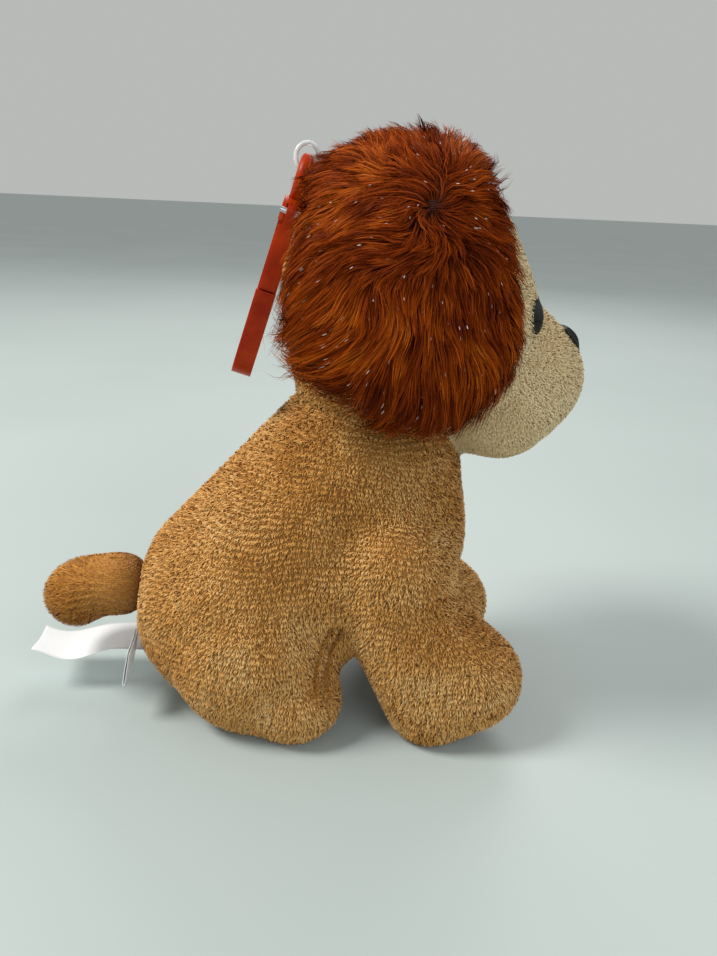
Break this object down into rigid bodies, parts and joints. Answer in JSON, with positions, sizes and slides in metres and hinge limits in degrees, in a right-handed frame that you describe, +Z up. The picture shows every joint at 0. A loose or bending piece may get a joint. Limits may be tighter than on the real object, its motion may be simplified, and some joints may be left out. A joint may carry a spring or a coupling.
{
  "type": "plush dog",
  "caption": "Small sitting plush dog with long furry ears, weighted seat, stub tail, sewn labels, and a cord loop on its head that carries a plastic snap clip.",
  "frame": {"origin": "on the surface that the dog sits on, below the middle of its length and width", "axes": "+Z up, the dog faces -Y, its left side is at +X"},
  "size_m": [0.0558, 0.1141, 0.116],
  "materials": {
    "tan_plush": "short crushed pile",
    "cream_plush": "short soft pile",
    "rust_plush": "long straight pile with a few glitter fibres",
    "ear_lining": "short pile",
    "stuffing": "loose polyester fibre",
    "pouch_cloth": "thin non-woven",
    "beans": "small round beans",
    "black_thread": "satin stitch",
    "loop_cord": "shiny white cord",
    "clip_plastic": "translucent, moulded",
    "pin_steel": "drawn wire",
    "label_satin": "woven satin"
  },
  "bodies": {
    "body": {"body_side_left": "tan_plush", "body_side_right": "tan_plush", "underbody_gusset": "tan_plush", "body_stuffing": "stuffing", "bean_pouch_top": "pouch_cloth", "bean_pouch_base": "pouch_cloth", "bean_fill": "beans", "head_side_left": "tan_plush", "head_side_right": "tan_plush", "forehead_panel": "cream_plush", "muzzle_left": "cream_plush", "muzzle_right": "cream_plush", "chin_panel": "cream_plush", "head_stuffing": "stuffing", "eye_left": "black_thread", "eye_right": "black_thread", "nose": "black_thread"},
    "ear_left": {"ear_left_plush": "rust_plush", "ear_left_lining": "ear_lining"},
    "ear_right": {"ear_right_plush": "rust_plush", "ear_right_lining": "ear_lining"},
    "tail": {"tail_cover_left": "tan_plush", "tail_cover_right": "tan_plush", "tail_stuffing": "stuffing"},
    "loop": {"hanging_loop": "loop_cord"},
    "clip": {"clip_frame": "clip_plastic", "clip_pin": "pin_steel"},
    "gate": {"clip_gate": "clip_plastic"},
    "care_label": {"care_label": "label_satin"},
    "seam_label": {"seam_label": "label_satin"}
  },
  "joints": [
    {"name": "ear_left_lift", "type": "hinge", "parent": "body", "child": "ear_left", "pos_m": [0.008, -0.0178, 0.11611], "axis": [0, -1, 0], "range_deg": [0, 80]},
    {"name": "ear_right_lift", "type": "hinge", "parent": "body", "child": "ear_right", "pos_m": [-0.008, -0.0178, 0.11611], "axis": [0, 1, 0], "range_deg": [0, 80]},
    {"name": "tail_wag", "type": "hinge", "parent": "body", "child": "tail", "pos_m": [0, 0.0372, 0.026], "axis": [0, 0, 1], "range_deg": [-25, 25], "stiffness_Nm_per_rad": 0.001},
    {"name": "loop_tilt", "type": "hinge", "parent": "body", "child": "loop", "pos_m": [0, -0.0021, 0.1051], "axis": [1, 0, 0], "range_deg": [0, 30]},
    {"name": "clip_swing", "type": "hinge", "parent": "loop", "child": "clip", "pos_m": [0, -0.00119, 0.1126], "axis": [1, 0, 0], "range_deg": [0, 110]},
    {"name": "gate_open", "type": "hinge", "parent": "clip", "child": "gate", "pos_m": [-0.0049, 0.0017, 0.10324], "axis": [0, -0.9553, -0.2957], "range_deg": [0, 25], "stiffness_Nm_per_rad": 0.002, "springref_deg": -5.73},
    {"name": "care_label_flap", "type": "hinge", "parent": "body", "child": "care_label", "pos_m": [0.0045, 0.03067, 0.0106], "axis": [1, 0, 0], "range_deg": [-10, 12], "stiffness_Nm_per_rad": 0.0005},
    {"name": "seam_label_flap", "type": "hinge", "parent": "body", "child": "seam_label", "pos_m": [-0.008, 0.03336, 0.0166], "axis": [1, 0, 0], "range_deg": [0, 35]}
  ]
}
